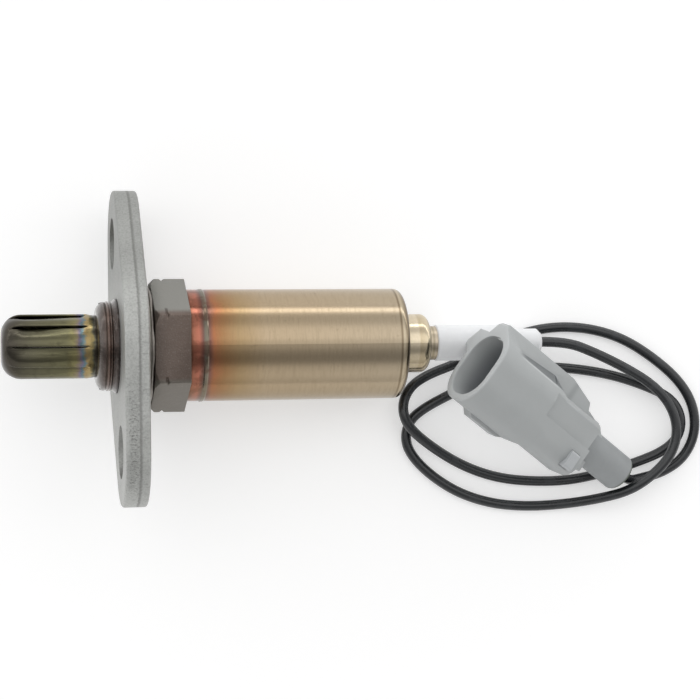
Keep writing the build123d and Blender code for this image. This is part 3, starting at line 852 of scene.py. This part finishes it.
moulded = new_finish("grey_plastic")
spot = plug_place(moulded)
moulded_cloud = moulded.noise(spot, 0.2, 4)
moulded_grain = moulded.noise(spot, 6.0, 4, 0.7)
moulded_base = moulded.mix(moulded_cloud, paint(178, 181, 181), paint(168, 171, 171))
moulded_skin = moulded.mix(0.35 * moulded_grain, moulded_base, paint(154, 157, 158))
depth, sidewards, height = split(moulded, spot)


def beyond(value, reach):
    """How far a value, whatever its sign, goes past a reach, and 0 within it."""
    return moulded.maths("MAXIMUM", abs(value) - reach, 0.0)


across_corner = beyond(sidewards + 1.2, 1.8)
up_corner = beyond(height, 0.6)
corner_reach = across_corner * across_corner + up_corner * up_corner
# Painted shade: the socket darkens from its mouth inwards.
socket_painted_shade = (
    moulded.rise(depth, 0.3, 6.0)
    * (1 - moulded.rise(corner_reach, 24.0, 27.0))
    * (1 - moulded.rise(depth, 13.8, 14.0))
)
over_rail = height + 0.19 * depth - 4.6
# Painted shade: a wedge of the barrel's flank above the side rail is darkened.
flank = (
    moulded.rise(sidewards, 4.6, 4.9)
    * moulded.rise(over_rail, 0.0, 0.3)
    * moulded.rise(depth, 3.0, 6.0)
    * (1 - moulded.rise(depth, 19.5, 21.5))
)
# Painted highlights: a light line along the flank's top edge, and a light rim round the mouth.
flank_edge_highlight = (
    moulded.rise(sidewards, 4.3, 4.5)
    * (1 - moulded.rise(sidewards, 4.6, 4.75))
    * moulded.rise(height, 4.6, 4.9)
    * moulded.rise(depth, 3.5, 6.0)
    * (1 - moulded.rise(depth, 13.5, 15.0))
)
mouth_rim_highlight = 1 - moulded.rise(depth, 0.1, 0.5)
lit_edges = moulded.mix(0.5 * flank_edge_highlight + 0.35 * mouth_rim_highlight, moulded_skin, paint(206, 209, 210))
shaded_flank = moulded.mix(0.8 * flank, lit_edges, paint(88, 92, 94))
grey_plastic = moulded.surface(
    moulded.mix(0.75 * socket_painted_shade, shaded_flank, paint(92, 95, 100)),
    0.42 + 0.18 * moulded_grain,
    moulded_grain,
    0.03,
)
dress("connector_housing", grey_plastic)


def plug_spot(point):
    """How far along the plug, to its side and to its top a point lies, in millimetres."""
    offset = (point - plug_mouth) / mm
    return offset.dot(plug_dir), offset.dot(plug_side), offset.dot(plug_top)


# Where the barrel's cheek, flank, rail and lug lie, and how far each moves, in millimetres
cheek_side = 5.1
cheek_shortened = 1.4
cheek_lowered = 1.9
flank_front = 14
flank_rear = 27.45
flank_run = 4
flank_inset = 1.6
rail_side = 7.5
rail_crest = 0.7
rail_foot_raised = 1.4
lug_length = 2.7
lug_foot = -7.0
lug_widened = 1.1
lug_foot_raised = 0.6
lug_narrowed = 0.5
barrel = merged_copy("connector_housing")
join_flats(barrel)
for vert in barrel.verts:
    depth, sidewards, height = plug_spot(vert.co)
    flank_foot = max(4.6 - 3.6 * depth / 18.8, 0.4)
    on_cheek = abs(sidewards - cheek_side) < 0.06 and abs(height) < 2.6
    on_flank = 2.3 < sidewards < 6.8 and height > flank_foot - 0.05
    on_rail = sidewards > rail_side
    on_lug = depth < lug_length
    if on_cheek and depth > 27.5:
        vert.co -= plug_dir * cheek_shortened * mm
    if on_cheek and height > 2:
        vert.co -= plug_top * cheek_lowered * mm
    if on_flank and not on_cheek and flank_front + 0.05 < depth < flank_rear:
        inset = flank_inset * min((depth - flank_front) / flank_run, 1)
        vert.co -= plug_side * inset * mm
    if on_rail and height > 1.2:
        vert.co -= plug_top * (height - rail_crest) * mm
    if on_rail and depth < 1 and height < -3:
        vert.co += plug_top * rail_foot_raised * mm
    if depth < 0.1 and 0 < sidewards < 5 and height < lug_foot:
        vert.co += (plug_side - plug_top) * lug_widened * mm
    if on_lug and 5 < sidewards < 7 and height < lug_foot:
        vert.co += plug_top * lug_foot_raised * mm
    if on_lug and 6 < sidewards < 7 and height < -3.6:
        vert.co -= plug_side * lug_narrowed * mm
ease_edges(barrel, width=0.22, sharpest=35)
moulded_barrel = new_piece("moulded_barrel", barrel, grey_plastic, 50)
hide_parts("connector_housing")

light_grey_plastic = grained(
    "light_grey_plastic",
    plug_place,
    tones=(paint(188, 191, 193), paint(174, 177, 179)),
    gloss=(0.38, 0.18),
    scale=5.0,
    relief=0.03,
    detail=4,
)
dress("terminal_retainer", light_grey_plastic)

# Connector terminal: one pin of tinned brass. It is pushed in from the plug's rear, and stands
# deep in the socket.
terminal_brass = grained(
    "terminal_brass",
    plug_place,
    tones=(paint(214, 206, 180), paint(186, 176, 146)),
    gloss=(0.24, 0.2),
    scale=3.0,
    relief=0.02,
    stretch=(0.4, 1.5),
    Metallic=1.0,
)
dress("connector_terminal", terminal_brass)

# Wire boot: a grey silicone rubber seal round the wire, pushed into the plug's rear. A thin
# darker line of sealant closes its end.
rubber = new_finish("boot_rubber")
spot = plug_place(rubber)
depth, _, _ = split(rubber, spot)
rubber_cloud = rubber.noise(spot, 0.4, 3)
rubber_grain = rubber.noise(spot, 5.0, 4)
at_end = rubber.rise(depth, 39.7, 40.2)
rubber_base = rubber.mix(rubber_cloud, paint(158, 161, 162), paint(146, 149, 150))
boot_rubber = rubber.surface(
    rubber.mix(at_end, rubber_base, paint(84, 92, 80)),
    0.5 + 0.2 * rubber_grain,
    rubber_grain,
    0.03,
)
dress("wire_boot", boot_rubber)

# Table and light: a plain pale table inside a soft white tent. The tent is bright overhead
# towards the far side, has a narrow bright strip low behind the sensor, and is dimmer on the
# near side.
floor_mesh = bpy.data.meshes.new("floor")
floor_shape = bmesh.new()
bmesh.ops.create_grid(floor_shape, x_segments=1, y_segments=1, size=8)
floor_shape.to_mesh(floor_mesh)
floor_shape.free()
floor = bpy.data.objects.new("floor", floor_mesh)
scene.collection.objects.link(floor)


def glow(level):
    return (level, level, level, 1)


pale = new_finish("pale_table")
floor_mesh.materials.append(
    pale.surface(glow(0.72), 0.8, Emission_Color=glow(1.0), Emission_Strength=0.42)
)

tent = Finish(bpy.data.worlds.new("studio"))
direction = tent.node("TexCoord")
_, sideways, upwards = split(tent, direction)
lean = tent.maths("ARCTAN2", sideways, upwards) * math.degrees(1)
tent_glow = tint(
    tent,
    lean,
    [
        (-180, glow(0.55)),
        (-110, glow(0.55)),
        (-90, glow(0.7)),
        (-69, glow(0.9)),
        (-50, glow(0.75)),
        (-38, glow(0.36)),
        (-27, glow(0.32)),
        (-14, glow(0.44)),
        (1, glow(0.78)),
        (12, glow(1.35)),
        (34, glow(1.25)),
        (46, glow(0.85)),
        (58, glow(0.75)),
        (70, glow(0.85)),
        (73, glow(2.8)),
        (80, glow(2.8)),
        (83, glow(0.85)),
        (180, glow(0.85)),
    ],
)
tent_light = tent.node("Background", sockets={"Color": tent_glow, "Strength": 1.0})
tent_end = tent.tree.nodes.new("ShaderNodeOutputWorld")
tent.tree.links.new(tent_light.socket, tent_end.inputs["Surface"])
scene.world = tent.owner
